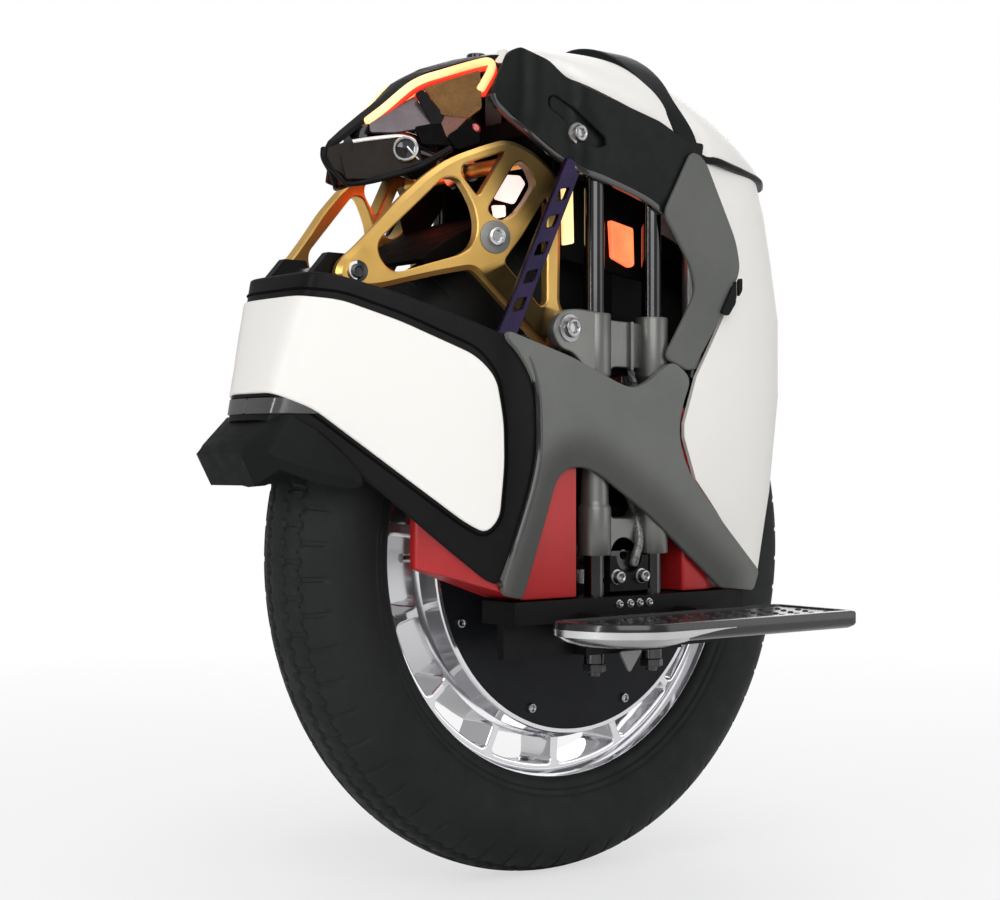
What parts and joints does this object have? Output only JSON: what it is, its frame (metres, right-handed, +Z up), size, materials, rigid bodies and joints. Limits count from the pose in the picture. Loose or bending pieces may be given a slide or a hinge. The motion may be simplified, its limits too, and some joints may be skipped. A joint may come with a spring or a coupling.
{
  "type": "electric unicycle",
  "caption": "Self-balancing electric unicycle: hub-motor wheel on sliding suspension rods, side panels, gold swing arm with shock, folding pedals and a pull-up trolley handle.",
  "frame": {"origin": "on the ground under the axle, midway between the two sides", "axes": "+X forward, +Y to the vehicle's left, +Z up; metres"},
  "size_m": [0.4905, 0.4, 0.5983],
  "materials": {
    "tyre_black": "matt",
    "rubber_black": "matt",
    "rim_polished": "polished",
    "steel": "satin",
    "cover_black": "satin",
    "copper": "satin",
    "gunmetal": "satin",
    "rod_dark": "polished",
    "frame_black": "satin",
    "box_red": "satin",
    "pack_blue": "matt",
    "panel_grey": "satin",
    "head_black": "satin",
    "shell_white": "satin",
    "gold": "anodised",
    "strut_blue": "satin",
    "visor_dark": "gloss",
    "lamp_white": "gloss",
    "light_orange": "glowing",
    "lamp_red": "gloss",
    "shock_black": "gloss"
  },
  "bodies": {
    "chassis": {"guide_rods": "rod_dark", "top_bridge": "frame_black", "pedal_brackets": "frame_black", "pedal_pins": "steel", "chassis_fixings": "steel", "battery_boxes": "box_red", "battery_packs": "pack_blue", "x_panels": "panel_grey", "side_trims": "panel_grey", "head_plates": "head_black", "nose_frame": "head_black", "nose_panel": "shell_white", "nose_lamps": "lamp_white", "mud_flap": "rubber_black", "arm_pivot_shaft": "steel", "nose_yoke": "frame_black", "struts": "strut_blue", "visor_hood": "visor_dark", "shock_bracket": "frame_black", "headlamps": "lamp_white", "light_tubes": "light_orange", "roof_posts": "frame_black", "top_cover": "shell_white", "rear_fender": "shell_white", "tail_lamp": "lamp_red", "controller": "frame_black", "glow_lamps": "light_orange", "handle_guides": "frame_black", "charge_port": "frame_black"},
    "carriage": {"axle": "steel", "stator_core": "steel", "stator_windings": "copper", "sliders": "gunmetal", "slider_bushes": "copper", "axle_caps": "gunmetal", "carriage_bolts": "steel", "inner_mudguard": "frame_black", "mudguard_stays": "frame_black", "motor_cable": "rubber_black", "cable_connector": "frame_black"},
    "wheel": {"tyre": "tyre_black", "inner_tube": "rubber_black", "rim": "rim_polished", "magnet_ring": "steel", "motor_covers": "cover_black", "wheel_bearings": "steel", "cover_screws": "steel", "valve_stem": "rubber_black"},
    "arm": {"arm_plates": "gold", "arm_cross_tube": "gold", "arm_bolts": "steel"},
    "shock_can": {"shock_can": "shock_black"},
    "shock_shaft": {"shock_shaft": "steel"},
    "pedal_left": {"pedal_left": "frame_black"},
    "pedal_right": {"pedal_right": "frame_black"},
    "handle": {"handle_grip": "head_black", "handle_legs": "steel"},
    "power_button": {"power_button": "rubber_black"},
    "charge_cap": {"charge_cap": "rubber_black"}
  },
  "joints": [
    {"name": "suspension", "type": "slide", "parent": "chassis", "child": "carriage", "axis": [0, 0, 1], "range_m": [0, 0.029], "stiffness_N_per_m": 4000, "springref_m": -0.06},
    {"name": "wheel_spin", "type": "hinge", "parent": "carriage", "child": "wheel", "pos_m": [0, 0, 0.2285], "axis": [0, 1, 0], "continuous": true},
    {"name": "arm_swing", "type": "hinge", "parent": "chassis", "child": "arm", "pos_m": [0.195, 0, 0.414], "axis": [0, 1, 0], "range_deg": [0, 12.06]},
    {"name": "shock_tilt", "type": "hinge", "parent": "chassis", "child": "shock_can", "pos_m": [0.158, 0, 0.506], "axis": [0, 1, 0], "range_deg": [0, 17.86]},
    {"name": "shock_stroke", "type": "slide", "parent": "shock_can", "child": "shock_shaft", "axis": [0.9899, 0, 0.1414], "range_m": [0, 0.01922]},
    {"name": "pedal_fold_left", "type": "hinge", "parent": "chassis", "child": "pedal_left", "pos_m": [0, 0.112, 0.183], "axis": [1, 0, 0], "range_deg": [0, 86]},
    {"name": "pedal_fold_right", "type": "hinge", "parent": "chassis", "child": "pedal_right", "pos_m": [0, -0.112, 0.183], "axis": [-1, 0, 0], "range_deg": [0, 86]},
    {"name": "handle_slide", "type": "slide", "parent": "chassis", "child": "handle", "axis": [0, 0, 1], "range_m": [0, 0.125]},
    {"name": "button_press", "type": "slide", "parent": "chassis", "child": "power_button", "axis": [0, 0, -1], "range_m": [0, 0.002], "stiffness_N_per_m": 300, "springref_m": -0.001},
    {"name": "cap_swing", "type": "hinge", "parent": "chassis", "child": "charge_cap", "pos_m": [-0.094, 0.1008, 0.416], "axis": [0, 0, 1], "range_deg": [0, 110]}
  ],
  "couplings": [
    {"joint": "arm_swing", "follows": "suspension", "rad_per_m": 7.1995},
    {"joint": "shock_tilt", "follows": "suspension", "rad_per_m": 10.69},
    {"joint": "shock_stroke", "follows": "suspension", "ratio": 0.65937}
  ]
}
